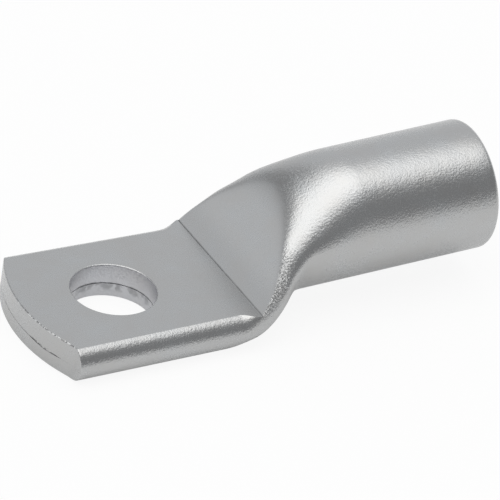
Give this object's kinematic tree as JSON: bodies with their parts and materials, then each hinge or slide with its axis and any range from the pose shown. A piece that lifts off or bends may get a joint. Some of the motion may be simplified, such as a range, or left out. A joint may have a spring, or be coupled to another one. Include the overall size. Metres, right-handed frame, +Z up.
{
  "type": "cable lug",
  "caption": "Tin-plated copper tube terminal: a flat palm with a stud hole, an angled step and an open round barrel that is crimped onto a stranded conductor.",
  "frame": {"origin": "on the underside of the palm, on the axis of the stud hole", "axes": "+X along the lug from the palm to the open mouth of the barrel, +Z up from the busbar along the stud"},
  "size_m": [0.0724, 0.0274, 0.0219],
  "materials": {
    "tin_plate": "satin"
  },
  "bodies": {
    "root": {"cable_lug": "tin_plate"}
  },
  "joints": []
}
